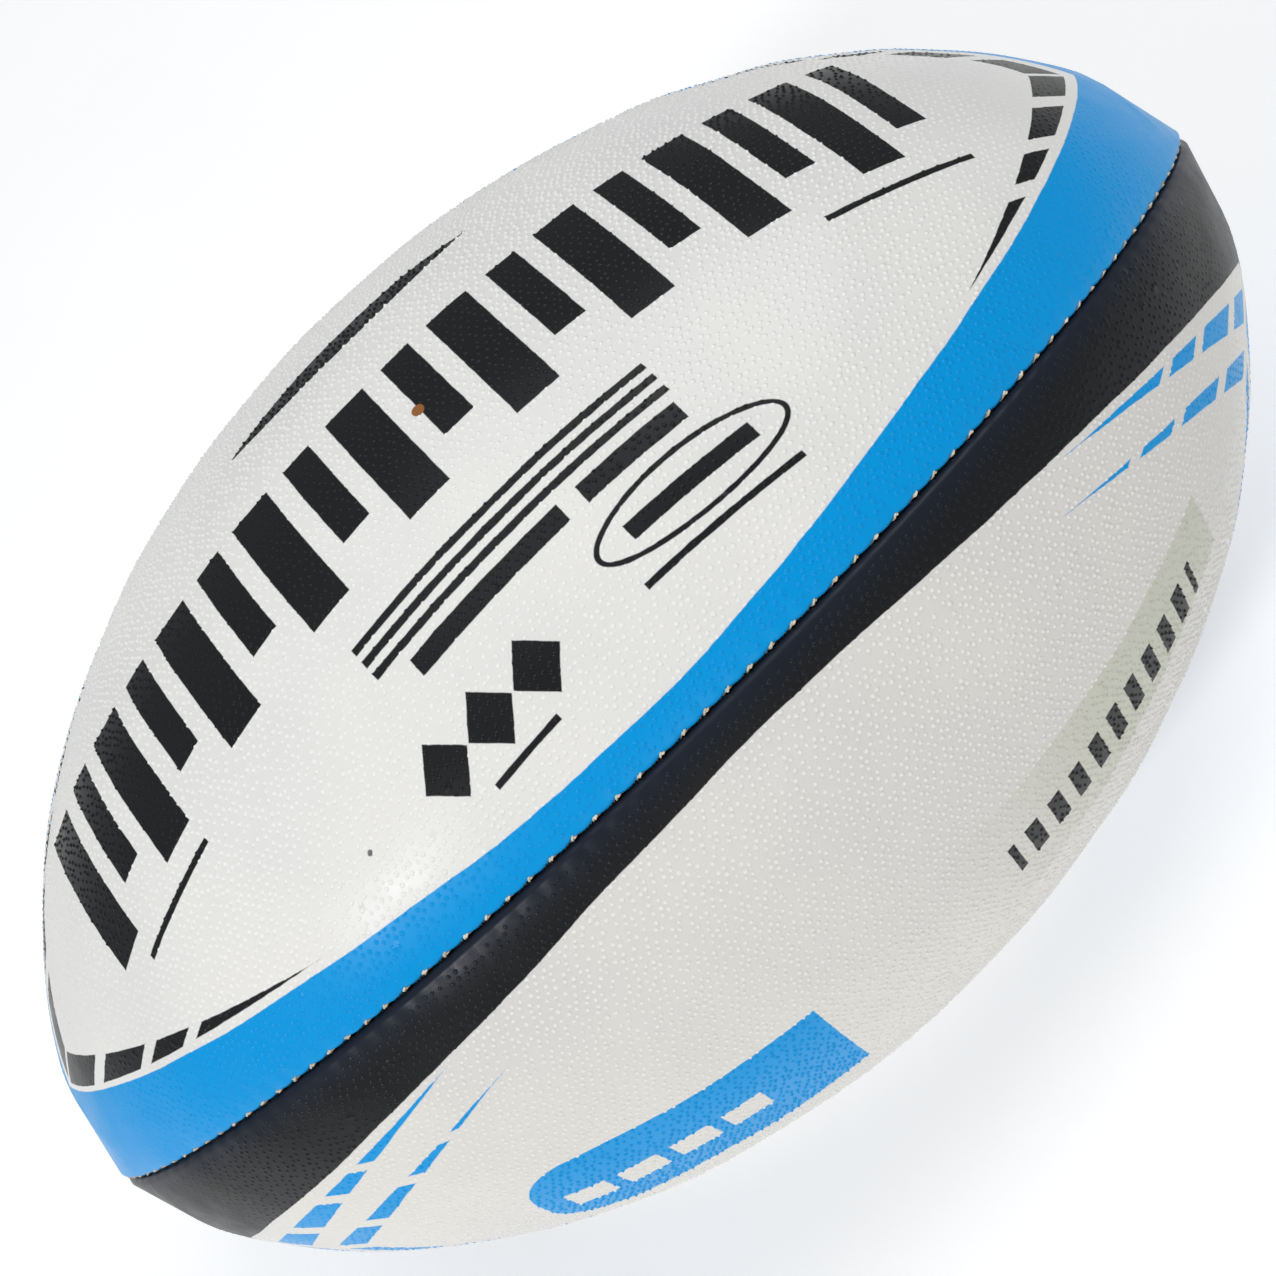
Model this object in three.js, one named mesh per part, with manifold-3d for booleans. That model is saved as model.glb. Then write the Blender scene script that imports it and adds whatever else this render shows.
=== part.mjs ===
// Size 5 rugby ball: four textured rubber cover panels, each backed by three plies of cloth, sewn
// edge to edge along four seams around an inflated bladder with its valve.
// Millimetres. The long axis is +X, +Z is up, and the origin is the centre of the ball.

import * as THREE from 'three';
import { mergeVertices } from 'three/addons/utils/BufferGeometryUtils.js';
import Module from 'manifold-3d';

// Outer shape: a meridian that is an ellipse drawn in towards the two noses.
const HALF_LENGTH = 150;
const MAX_RADIUS = 92.5;
const SHOULDER_TAPER = 0.087;
const NOSE_TAPER = 0.147;

// Layers, counted inwards from the outer surface.
const COVER_THICKNESS = 1.2;
const PLY_THICKNESS = 0.25;
const LAYER_GAP = 0.12;
const PATCH_THICKNESS = 0.6;
const TURNED_EDGE_DEPTH = 3.3;
const TURNED_EDGE_THICKNESS = 2.2;
const THINNEST_EDGE = 0.2;
const EDGE_SHARE_AT_POINT = 0.6;
const BLADDER_DEPTH = 3.6;
const BLADDER_THICKNESS = 0.6;

// Seams: a straight-sided slot between two turned-in panel edges, with the thread inside it.
const SEAM_HALF_GAP = 0.6;
const THREAD_RADIUS = 0.4;
const THREAD_DEPTH = 1.1;
const THREAD_SIDES = 6;
const THREAD_STEPS = 44;
const THREAD_END_RADIUS = 1.7;

// Facets: stations along a meridian and strips across a panel, shared by every layer.
const SHELL_STATIONS = 16;
const STRIPS = 6;
const SHELL_END_ANGLE = THREE.MathUtils.degToRad(83.5);
const POINT_ANGLES = [86.5, 88.8].map(THREE.MathUtils.degToRad);
const QUARTER = Math.PI / 2;
const EIGHTH = Math.PI / 4;

// Valve, on the middle of the back panel. Heights are distances from the ball's centre.
const VALVE_FACE_HEIGHT = MAX_RADIUS;
const VALVE_STEM_RADIUS = 6;
const VALVE_HOLE_RADIUS = 6.3;
const VALVE_FLANGE_RADIUS = 15;
const VALVE_FLANGE_THICKNESS = 1.3;
const VALVE_SLEEVE_RADIUS = 4.6;
const VALVE_SLEEVE_END = 72;
const VALVE_SLEEVE_LIP = 1.4;
const CORE_HEAD_RADIUS = 4;
const CORE_HEAD_THICKNESS = 1.4;
const CORE_BODY_RADIUS = 2.8;
const CORE_LENGTH = 17;
const CORE_TIP_RADIUS = 1.6;
const CORE_CLEARANCE = 0.2;
const NEEDLE_GUIDE_RADIUS = 0.8;
const NEEDLE_GUIDE_DEPTH = 10;
const PATCH_RADIUS = 17;
const ROUND_SEGMENTS = 24;

const COLOURS = {
  cover: 0xe4e2de,
  outerPly: 0xd9d2c2,
  middlePly: 0xcfc8b8,
  innerPly: 0xc6bfae,
  thread: 0xe8e2d2,
  bladder: 0x2a2b2d,
  patch: 0x8a7f6a,
  housing: 0x1d1e20,
  core: 0xc8b48a,
};

const wasm = await Module();
wasm.setup();

// A point of the meridian at an angle from the middle, moved inwards along its normal.
function meridian(angle, depth) {
  const s = Math.sin(angle);
  const c = Math.cos(angle);
  const taper = 1 - SHOULDER_TAPER * s ** 2 - NOSE_TAPER * s ** 6;
  const taperSlope = -2 * SHOULDER_TAPER * s - 6 * NOSE_TAPER * s ** 5;
  const alongX = HALF_LENGTH * c;
  const alongR = MAX_RADIUS * (c * c * taperSlope - s * taper);
  const length = Math.hypot(alongX, alongR);
  return {
    x: HALF_LENGTH * s + (depth * alongR) / length,
    r: MAX_RADIUS * c * taper - (depth * alongX) / length,
  };
}

function around(place, turn) {
  return new THREE.Vector3(place.x, -place.r * Math.sin(turn), place.r * Math.cos(turn));
}

// Half the angle that a panel covers where its edge lies a fixed distance inside the seam plane.
function halfTurn(place, edgeInset) {
  return EIGHTH - Math.asin(edgeInset / place.r);
}

function stationAngles(withPoints) {
  const angles = [];
  for (let i = 0; i <= SHELL_STATIONS; i += 1) {
    angles.push(SHELL_END_ANGLE * ((2 * i) / SHELL_STATIONS - 1));
  }
  if (!withPoints) return angles;
  const before = [...POINT_ANGLES].reverse().map((angle) => -angle);
  return [...before, ...angles, ...POINT_ANGLES];
}

// One row of points across a panel, at a depth, from one seam to the other.
function arcRow(angle, depth, edgeInset) {
  const place = meridian(angle, depth);
  const half = halfTurn(place, edgeInset);
  const row = [];
  for (let j = 0; j <= STRIPS; j += 1) {
    row.push(around(place, half * ((2 * j) / STRIPS - 1)));
  }
  return row;
}

// A closed body between an outer and an inner grid of points of the same layout.
function thickSheet(outer, inner) {
  const rows = outer.length;
  const columns = outer[0].length;
  const positions = [...outer.flat(), ...inner.flat()].flatMap((point) => point.toArray());
  const onOuter = (i, j) => i * columns + j;
  const onInner = (i, j) => rows * columns + i * columns + j;
  const faces = [];
  const quad = (a, b, c, d) => faces.push(a, b, c, a, c, d);
  for (let i = 0; i + 1 < rows; i += 1) {
    for (let j = 0; j + 1 < columns; j += 1) {
      quad(onOuter(i, j), onOuter(i, j + 1), onOuter(i + 1, j + 1), onOuter(i + 1, j));
      quad(onInner(i, j), onInner(i + 1, j), onInner(i + 1, j + 1), onInner(i, j + 1));
    }
    const last = columns - 1;
    quad(onOuter(i, 0), onOuter(i + 1, 0), onInner(i + 1, 0), onInner(i, 0));
    quad(onOuter(i, last), onInner(i, last), onInner(i + 1, last), onOuter(i + 1, last));
  }
  for (let j = 0; j + 1 < columns; j += 1) {
    const last = rows - 1;
    quad(onOuter(0, j), onInner(0, j), onInner(0, j + 1), onOuter(0, j + 1));
    quad(onOuter(last, j), onOuter(last, j + 1), onInner(last, j + 1), onInner(last, j));
  }
  const geometry = new THREE.BufferGeometry();
  geometry.setAttribute('position', new THREE.Float32BufferAttribute(positions, 3));
  geometry.setIndex(faces);
  return geometry;
}

// A plain layer of a panel between two depths.
function layerSheet(depth, thickness, edgeInset) {
  const angles = stationAngles(false);
  const outer = angles.map((angle) => arcRow(angle, depth, edgeInset));
  const inner = angles.map((angle) => arcRow(angle, depth + thickness, edgeInset));
  return thickSheet(outer, inner);
}

// A cover panel with both long edges turned in at the seams. Near the points of the panel the
// turned-in edges thin down, so that they never meet.
function coverPanel() {
  const outer = [];
  const inner = [];
  for (const angle of stationAngles(true)) {
    const foot = meridian(angle, TURNED_EDGE_DEPTH);
    const widest = EDGE_SHARE_AT_POINT * foot.r * Math.sin(EIGHTH);
    const thinned = Math.max(widest, SEAM_HALF_GAP + THINNEST_EDGE);
    const innerInset = Math.min(SEAM_HALF_GAP + TURNED_EDGE_THICKNESS, thinned);
    const outerFoot = halfTurn(foot, SEAM_HALF_GAP);
    const innerFoot = halfTurn(foot, innerInset);
    outer.push([around(foot, -outerFoot), ...arcRow(angle, 0, SEAM_HALF_GAP), around(foot, outerFoot)]);
    const innerArc = arcRow(angle, COVER_THICKNESS, innerInset);
    inner.push([around(foot, -innerFoot), ...innerArc, around(foot, innerFoot)]);
  }
  return thickSheet(outer, inner);
}

function toSolid(geometry) {
  const bare = geometry.clone();
  bare.deleteAttribute('normal');
  bare.deleteAttribute('uv');
  const merged = mergeVertices(bare, 1e-4);
  const vertProperties = new Float32Array(merged.attributes.position.array);
  const triVerts = new Uint32Array(merged.index.array);
  return new wasm.Manifold(new wasm.Mesh({ numProp: 3, vertProperties, triVerts }));
}

function toGeometry(solid) {
  const mesh = solid.getMesh();
  const geometry = new THREE.BufferGeometry();
  geometry.setAttribute('position', new THREE.Float32BufferAttribute(mesh.vertProperties, 3));
  geometry.setIndex(Array.from(mesh.triVerts));
  return geometry;
}

// A round solid on the valve's axis, from its outline in radius and height.
function turned(outline) {
  const points = outline.map(([radius, height]) => new THREE.Vector2(radius, height));
  return new THREE.LatheGeometry(points, ROUND_SEGMENTS).rotateX(Math.PI / 2);
}

function roundPlug(radius, low, high) {
  return toSolid(turned([[0, low], [radius, low], [radius, high], [0, high]]));
}

const valveHole = roundPlug(VALVE_HOLE_RADIUS, VALVE_SLEEVE_END, HALF_LENGTH);

function withValveHole(geometry) {
  return toGeometry(toSolid(geometry).subtract(valveHole));
}

// One closed skin of the bladder, a full turn of the same stations, ending on the axis.
function closedSkin(depth) {
  const rings = 4 * STRIPS;
  const outline = [-QUARTER, ...stationAngles(true), QUARTER].map((angle) => meridian(angle, depth));
  outline[0].r = 0;
  outline[outline.length - 1].r = 0;
  const points = outline.map((place) => new THREE.Vector2(place.r, place.x));
  return toSolid(new THREE.LatheGeometry(points, rings).rotateZ(-QUARTER));
}

function bladder() {
  const wall = closedSkin(BLADDER_DEPTH).subtract(closedSkin(BLADDER_DEPTH + BLADDER_THICKNESS));
  return toGeometry(wall.subtract(valveHole));
}

// The moulded housing: a stem through the panel, a flange inside the bladder and a sleeve.
function valveHousing() {
  const flangeDepth = BLADDER_DEPTH + BLADDER_THICKNESS + LAYER_GAP;
  const flangeSheet = toSolid(layerSheet(flangeDepth, VALVE_FLANGE_THICKNESS, 0));
  const flange = flangeSheet.intersect(roundPlug(VALVE_FLANGE_RADIUS, VALVE_SLEEVE_END, HALF_LENGTH));
  const stemFoot = MAX_RADIUS - flangeDepth - VALVE_FLANGE_THICKNESS / 2;
  const stem = roundPlug(VALVE_STEM_RADIUS, stemFoot, VALVE_FACE_HEIGHT);
  const sleeve = roundPlug(VALVE_SLEEVE_RADIUS, VALVE_SLEEVE_END, stemFoot + 1);
  const seat = CORE_HEAD_RADIUS + CORE_CLEARANCE;
  const seatHeight = VALVE_FACE_HEIGHT - CORE_HEAD_THICKNESS - CORE_CLEARANCE;
  const bore = CORE_BODY_RADIUS + CORE_CLEARANCE;
  const counterbore = roundPlug(seat, seatHeight, HALF_LENGTH);
  const coreBore = roundPlug(bore, VALVE_SLEEVE_END + VALVE_SLEEVE_LIP, HALF_LENGTH);
  const airHole = roundPlug(CORE_TIP_RADIUS, 0, HALF_LENGTH);
  const body = flange.add(stem).add(sleeve);
  return toGeometry(body.subtract(counterbore).subtract(coreBore).subtract(airHole));
}

// The self-sealing core: a headed plug with a blind guide for the needle.
function valveCore() {
  const top = VALVE_FACE_HEIGHT;
  const underHead = top - CORE_HEAD_THICKNESS;
  const tip = top - CORE_LENGTH;
  return turned([
    [0, tip],
    [CORE_TIP_RADIUS, tip],
    [CORE_BODY_RADIUS, tip + 2],
    [CORE_BODY_RADIUS, underHead],
    [CORE_HEAD_RADIUS, underHead],
    [CORE_HEAD_RADIUS, top],
    [NEEDLE_GUIDE_RADIUS, top],
    [NEEDLE_GUIDE_RADIUS, top - NEEDLE_GUIDE_DEPTH],
    [0, top - NEEDLE_GUIDE_DEPTH - 1],
  ]);
}

function reinforcingPatch(depth, edgeInset) {
  const layer = toSolid(layerSheet(depth, PATCH_THICKNESS, edgeInset));
  const disc = layer.intersect(roundPlug(PATCH_RADIUS, VALVE_SLEEVE_END, HALF_LENGTH));
  return toGeometry(disc.subtract(valveHole));
}

// The sewing thread of one seam, lying in the slot from nose to nose.
function seamThread() {
  const nose = MAX_RADIUS * (1 - SHOULDER_TAPER - NOSE_TAPER);
  const endAngle = Math.acos(THREAD_END_RADIUS / nose);
  const points = [];
  for (let i = 0; i <= THREAD_STEPS; i += 1) {
    const place = meridian(endAngle * ((2 * i) / THREAD_STEPS - 1), THREAD_DEPTH);
    points.push(around(place, 0));
  }
  const section = new THREE.Shape();
  for (let k = 0; k < THREAD_SIDES; k += 1) {
    const turn = (2 * Math.PI * k) / THREAD_SIDES;
    const x = THREAD_RADIUS * Math.cos(turn);
    const y = THREAD_RADIUS * Math.sin(turn);
    if (k === 0) section.moveTo(x, y);
    else section.lineTo(x, y);
  }
  const extrudePath = new THREE.CatmullRomCurve3(points);
  return new THREE.ExtrudeGeometry(section, { steps: THREAD_STEPS, extrudePath, bevelEnabled: false });
}

const ball = new THREE.Group();

function addPiece(name, geometry, colour, roughness, turn) {
  geometry.computeVertexNormals();
  const material = new THREE.MeshStandardMaterial({ color: colour, roughness, metalness: 0 });
  const mesh = new THREE.Mesh(geometry, material);
  mesh.name = name;
  mesh.rotation.x = turn;
  ball.add(mesh);
}

const PANELS = ['top', 'front', 'bottom', 'back'];
const BACK_TURN = PANELS.indexOf('back') * QUARTER;
const LAYER_INSET = SEAM_HALF_GAP + TURNED_EDGE_THICKNESS + LAYER_GAP;
const PLIES = [
  { name: 'outer_ply', colour: COLOURS.outerPly },
  { name: 'middle_ply', colour: COLOURS.middlePly },
  { name: 'inner_ply', colour: COLOURS.innerPly },
];
const plyDepth = (layer) => COVER_THICKNESS + LAYER_GAP + layer * (PLY_THICKNESS + LAYER_GAP);

PANELS.forEach((panel, index) => {
  const fitted = (geometry) => (panel === 'back' ? withValveHole(geometry) : geometry);
  addPiece(`cover_panel_${panel}`, fitted(coverPanel()), COLOURS.cover, 0.5, index * QUARTER);
  PLIES.forEach((ply, layer) => {
    const sheet = layerSheet(plyDepth(layer), PLY_THICKNESS, LAYER_INSET);
    addPiece(`${ply.name}_${panel}`, fitted(sheet), ply.colour, 0.9, index * QUARTER);
  });
  const next = PANELS[(index + 1) % PANELS.length];
  addPiece(`seam_thread_${panel}_${next}`, seamThread(), COLOURS.thread, 0.7, index * QUARTER + EIGHTH);
});

addPiece('bladder', bladder(), COLOURS.bladder, 0.6, BACK_TURN);
addPiece('valve_reinforcing_patch', reinforcingPatch(plyDepth(PLIES.length), LAYER_INSET),
  COLOURS.patch, 0.9, BACK_TURN);
addPiece('valve_housing', valveHousing(), COLOURS.housing, 0.6, BACK_TURN);
addPiece('valve_core', valveCore(), COLOURS.core, 0.5, BACK_TURN);

export default ball;
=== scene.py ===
"""Looks of a size 5 rugby ball: printed rubber panels with moulded grip dots, sewn seams and a valve.

Lengths in this script are millimetres until a mesh is written, which is in metres. A panel's own
coordinates are the arc length along its meridian from the middle of the ball, and the turn about
the long axis from the panel's middle line.
"""

import math

import bpy
import numpy as np
from mathutils import Matrix, Vector
from mathutils.geometry import delaunay_2d_cdt
from mathutils.kdtree import KDTree


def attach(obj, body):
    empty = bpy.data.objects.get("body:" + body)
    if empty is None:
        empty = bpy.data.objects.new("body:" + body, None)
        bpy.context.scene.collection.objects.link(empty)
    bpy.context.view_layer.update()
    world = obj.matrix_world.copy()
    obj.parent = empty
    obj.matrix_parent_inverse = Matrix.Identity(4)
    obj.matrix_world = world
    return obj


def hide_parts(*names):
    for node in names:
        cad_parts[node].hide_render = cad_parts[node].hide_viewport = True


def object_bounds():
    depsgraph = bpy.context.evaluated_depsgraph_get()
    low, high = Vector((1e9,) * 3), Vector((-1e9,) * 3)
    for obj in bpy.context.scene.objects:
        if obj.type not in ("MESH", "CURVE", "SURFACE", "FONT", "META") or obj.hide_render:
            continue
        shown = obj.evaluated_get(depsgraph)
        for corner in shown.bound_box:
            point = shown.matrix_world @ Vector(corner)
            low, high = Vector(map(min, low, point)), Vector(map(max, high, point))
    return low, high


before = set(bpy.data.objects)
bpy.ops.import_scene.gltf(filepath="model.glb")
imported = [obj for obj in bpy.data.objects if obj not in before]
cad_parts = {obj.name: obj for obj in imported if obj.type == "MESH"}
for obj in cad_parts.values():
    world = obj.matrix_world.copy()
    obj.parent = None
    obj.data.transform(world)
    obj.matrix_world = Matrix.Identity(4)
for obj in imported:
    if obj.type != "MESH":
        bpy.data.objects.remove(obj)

cad_low, cad_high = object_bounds()

MM = 0.001
EIGHTH = math.pi / 4
QUARTER = math.pi / 2

# Outer shape, as the CAD has it.
LAST_CAD_STATION = math.radians(88.8)
HALF_LENGTH = cad_high.x / MM / math.sin(LAST_CAD_STATION)
MAX_RADIUS = cad_high.y / MM
SHOULDER_TAPER = 0.087
NOSE_TAPER = 0.147
TABLE_ROWS = 4001

# Panels and their long edges, which roll over into the seam and end as a turned-in wall.
PANEL_SEED = 11
COVER_THICKNESS = 1.2
EDGE_DEPTH = 3.3
EDGE_INSET = 1.9
SEAM_HALF_GAP = 0.3
ROLL_RADIUS = {"blue": 0.9, "black": 1.6}
WIDEST_ROLL = max(ROLL_RADIUS.values())
ROLL_STEPS = 6
NOSE_RADIUS = 0.4
STATION_STEP = 0.95
UNDERSIDE_PITCH = 8
UNDERSIDE_NOSE_CLEARANCE = 12
UNDERSIDE_EDGE_CLEARANCE = 5
UNDERSIDE_HOLE_CLEARANCE = 2

# Relief of a panel's skin: slow waves, a dip along the seam, and the pull of each stitch.
WAVE_COUNT = 9
WAVE_NUMBERS = (0.1, 0.3)
WAVE_HEIGHTS = (0.03, 0.06)
PILLOW_DEPTH = 0.75
PILLOW_WIDTH = 3.2
PILLOW_FADE_RADIUS = 40
STITCH_PITCH = 4.9
PULL_DEPTH = 0.35
PULL_WIDTH = 2.2
PULL_FADE_START = 35
PULL_FADE_END = 80
SCALLOP = {"blue": 0.9, "black": 0.25}
SCALLOP_SHARE = 0.5

# Moulded grip dots, which stand less high where the ball's radius is small.
DOT_PITCH = 1.62
DOT_JITTER = 0.38
DOT_SPACING = 1.08
DOT_RADIUS = 0.5
DOT_HEIGHT = 0.38
DOT_SIDES = 5
DOT_SIZE_RANGE = (0.86, 1.12)
DOT_HEIGHT_RANGE = (0.8, 1.15)
DOT_LEAST_SHARE = 0.12
DOT_FADE_START = 40
DOT_FADE_END = 78
DOT_EDGE_CLEARANCE = 0.7
DOT_VALVE_CLEARANCE = 1.3
DOT_SMALLEST_RADIUS = 28

# Valve, in the middle of the back panel.
VALVE_HOLE_RADIUS = 6.3
VALVE_HOLE_POINTS = 40

PANELS = ["top", "front", "bottom", "back"]
PRINT_OF = {"top": "blue", "front": "black", "bottom": "blue", "back": "black"}


# ---------------------------------------------------------------- the ball's own coordinates

def taper(s):
    """Share of an ellipse's radius that the ball has, from the sine of its angle along the ellipse."""
    return 1 - SHOULDER_TAPER * s ** 2 - NOSE_TAPER * s ** 6


ANGLES = np.linspace(-QUARTER, QUARTER, TABLE_ROWS)
TABLE_X = HALF_LENGTH * np.sin(ANGLES)
TABLE_R = MAX_RADIUS * np.cos(ANGLES) * taper(np.sin(ANGLES))
STEPS = np.hypot(np.diff(TABLE_X), np.diff(TABLE_R))
TABLE_ARC = np.concatenate([[0], np.cumsum(STEPS)]) - STEPS.sum() / 2


def station(arc):
    """Place along X, radius, and the outward normal's X and radial parts, at an arc length."""
    angle = np.interp(arc, TABLE_ARC, ANGLES)
    s, c = np.sin(angle), np.cos(angle)
    slope = -2 * SHOULDER_TAPER * s - 6 * NOSE_TAPER * s ** 5
    along_x = HALF_LENGTH * c
    along_r = MAX_RADIUS * (c * c * slope - s * taper(s))
    length = np.hypot(along_x, along_r)
    return HALF_LENGTH * s, MAX_RADIUS * c * taper(s), -along_r / length, along_x / length


def place(arc, turn, height):
    """Points at a height above the outer surface, in the frame of the top panel."""
    x, r, normal_x, normal_r = station(arc)
    radius = r + height * normal_r
    parts = [x + height * normal_x, -radius * np.sin(turn), radius * np.cos(turn)]
    return np.stack(np.broadcast_arrays(*parts), axis=-1)


def turned_about_x(points, angle):
    """Points of the top panel's frame turned to another panel or seam."""
    c, s = math.cos(angle), math.sin(angle)
    x, y, z = points[:, 0], points[:, 1], points[:, 2]
    return np.stack([x, y * c - z * s, y * s + z * c], axis=-1)


def seam_offset(arc, turn):
    """Distance from the nearer seam plane."""
    return station(arc)[1] * np.sin(EIGHTH - np.abs(turn))


def turn_at(arc, offset, height):
    """The turn at which a point stands a given distance from the seam plane."""
    _, r, _, normal_r = station(arc)
    return EIGHTH - np.arcsin(offset / (r + height * normal_r))


def edge_scale(arc):
    """1 over most of the ball, shrinking towards the noses where the panels narrow to points."""
    room = station(arc)[1] * math.sin(EIGHTH) / 2
    return np.minimum(1, room / (SEAM_HALF_GAP + WIDEST_ROLL))


# ---------------------------------------------------------------- panels

class PanelShape:
    """The slow undulation and the rolled, sewn edges of one panel."""

    def __init__(self, seed, border):
        draw = np.random.default_rng(seed)
        self.roll = ROLL_RADIUS[border]
        self.scallop = SCALLOP[border]
        self.waves = []
        for _ in range(WAVE_COUNT):
            number = draw.uniform(*WAVE_NUMBERS)
            heading, phase = draw.uniform(0, math.tau, 2)
            self.waves.append((number, heading, phase, draw.uniform(*WAVE_HEIGHTS)))

    def undulation(self, arc, across):
        """Height of the slow waves that the cloth behind the panel gives it."""
        total = 0
        for number, heading, phase, height in self.waves:
            along = arc * math.cos(heading) + across * math.sin(heading)
            total = total + height * np.sin(number * along + phase)
        return total

    def relief(self, arc, turn):
        """Height of the panel's skin, without its dots."""
        r = station(arc)[1]
        offset = seam_offset(arc, turn)
        fade = np.clip(r / PILLOW_FADE_RADIUS, 0, 1)
        pillow = PILLOW_DEPTH * np.exp(-offset / PILLOW_WIDTH)
        beat = 0.5 + 0.5 * np.cos(math.tau * arc / STITCH_PITCH)
        pull = PULL_DEPTH * beat ** 2 * np.exp(-offset / PULL_WIDTH)
        pull_fade = np.clip((r - PULL_FADE_START) / (PULL_FADE_END - PULL_FADE_START), 0, 1)
        return fade * (self.undulation(arc, r * turn) - pillow) - pull_fade * pull

    def lip(self, arc):
        """How far the panel's lip leans out over the seam, between one stitch and the next."""
        saw = (arc / STITCH_PITCH) % 1
        return self.scallop * (4 * saw * (1 - saw) - 0.5) * edge_scale(arc)


def edge_rows(shape, arcs, side):
    """Rows of points round one long edge: over the roll, down the wall, and back under the panel.
    Each row is the turn and the height of its points."""
    scale = edge_scale(arcs)
    rows = []
    for i in range(1, ROLL_STEPS + 1):
        angle = QUARTER * i / ROLL_STEPS
        offset = scale * (SEAM_HALF_GAP + shape.roll * (1 - math.sin(angle)))
        offset = offset - shape.lip(arcs) * math.sin(angle) * SCALLOP_SHARE
        rows.append((offset, shape.roll * (1 - math.cos(angle)) * scale))
    rows.append((scale * SEAM_HALF_GAP, EDGE_DEPTH * np.ones_like(arcs)))
    rows.append((scale * (SEAM_HALF_GAP + EDGE_INSET), EDGE_DEPTH * np.ones_like(arcs)))
    rows.append((scale * (SEAM_HALF_GAP + EDGE_INSET), COVER_THICKNESS * np.ones_like(arcs)))
    first_turn = turn_at(arcs, scale * (SEAM_HALF_GAP + shape.roll), 0)
    sunk = shape.relief(arcs, side * first_turn)
    placed = []
    for index, (offset, depth) in enumerate(rows):
        height = -depth + (sunk if index < ROLL_STEPS else 0)
        placed.append((side * turn_at(arcs, offset, height), height))
    return placed


def hex_lattice(arc_limit, pitch):
    """Points of a triangular lattice over the panel's flat pattern, arc by across."""
    row_step = pitch * math.sqrt(3) / 2
    half_rows = int(MAX_RADIUS * EIGHTH / row_step) + 1
    half_columns = int(arc_limit / pitch) + 1
    column_numbers = np.arange(-half_columns, half_columns + 1)
    row_numbers = np.arange(-half_rows, half_rows + 1)
    columns, rows = np.meshgrid(column_numbers, row_numbers)
    arc = (columns + 0.5 * (rows % 2)) * pitch
    return arc.ravel(), (rows * row_step).ravel()


def well_spaced(arc, across, spacing):
    """Which points stay when any that stands too near an earlier one is left out."""
    tree = KDTree(len(arc))
    for index, (x, y) in enumerate(zip(arc.tolist(), across.tolist())):
        tree.insert((x, y, 0), index)
    tree.balance()
    stays = np.ones(len(arc), bool)
    for index, (x, y) in enumerate(zip(arc.tolist(), across.tolist())):
        if stays[index]:
            near = [other for _, other, _ in tree.find_range((x, y, 0), spacing) if other > index]
            stays[near] = False
    return stays


def dot_centres(seed, arc_limit, roll, holed):
    """Arc and turn of every dot on a panel, and the random numbers to go on with."""
    draw = np.random.default_rng(seed)
    arc, across = hex_lattice(arc_limit, DOT_PITCH)
    arc = arc + draw.uniform(-DOT_JITTER, DOT_JITTER, len(arc))
    across = across + draw.uniform(-DOT_JITTER, DOT_JITTER, len(arc))
    r = station(arc)[1]
    turn = across / np.maximum(r, NOSE_RADIUS)
    clear = edge_scale(arc) * (SEAM_HALF_GAP + roll) + DOT_EDGE_CLEARANCE
    kept = (np.abs(arc) < arc_limit) & (r > DOT_SMALLEST_RADIUS) & (np.abs(turn) < EIGHTH)
    kept &= seam_offset(arc, np.clip(turn, -EIGHTH, EIGHTH)) > clear
    if holed:
        kept &= np.hypot(arc, across) > VALVE_HOLE_RADIUS + DOT_VALVE_CLEARANCE
    arc, turn = arc[kept], turn[kept]
    spaced = well_spaced(arc, station(arc)[1] * turn, DOT_SPACING)
    return arc[spaced], turn[spaced], draw


def grip_dots(seed, arc_limit, roll, holed):
    """Points of every dot: the raised centres, and then the rings round them on the skin. It gives the
    points' arc, turn, height and crown, which sets how much painted highlight a point gets (the dot's
    share at its centre, none on its ring), and the number of the ring each is on, or -1 for a centre."""
    arc, turn, draw = dot_centres(seed, arc_limit, roll, holed)
    radius = station(arc)[1]
    spin = draw.uniform(0, math.tau, len(arc))
    size = draw.uniform(*DOT_SIZE_RANGE, len(arc))
    fade = np.clip((radius - DOT_FADE_START) / (DOT_FADE_END - DOT_FADE_START), 0, 1)
    crown = DOT_LEAST_SHARE + (1 - DOT_LEAST_SHARE) * fade
    crest = DOT_HEIGHT * size * crown * draw.uniform(*DOT_HEIGHT_RANGE, len(arc))
    flat = np.zeros(len(arc))
    arcs, turns = [arc], [turn]
    for k in range(DOT_SIDES):
        angle = spin + math.tau * k / DOT_SIDES
        arcs.append(arc + DOT_RADIUS * size * np.cos(angle))
        turns.append(turn + DOT_RADIUS * size * np.sin(angle) / radius)
    heights = [crest] + [flat] * DOT_SIDES
    crowns = [crown] + [flat] * DOT_SIDES
    rings = [np.full(len(arc), -1)] + [np.arange(len(arc))] * DOT_SIDES
    return [np.concatenate(parts) for parts in (arcs, turns, heights, crowns, rings)]


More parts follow.
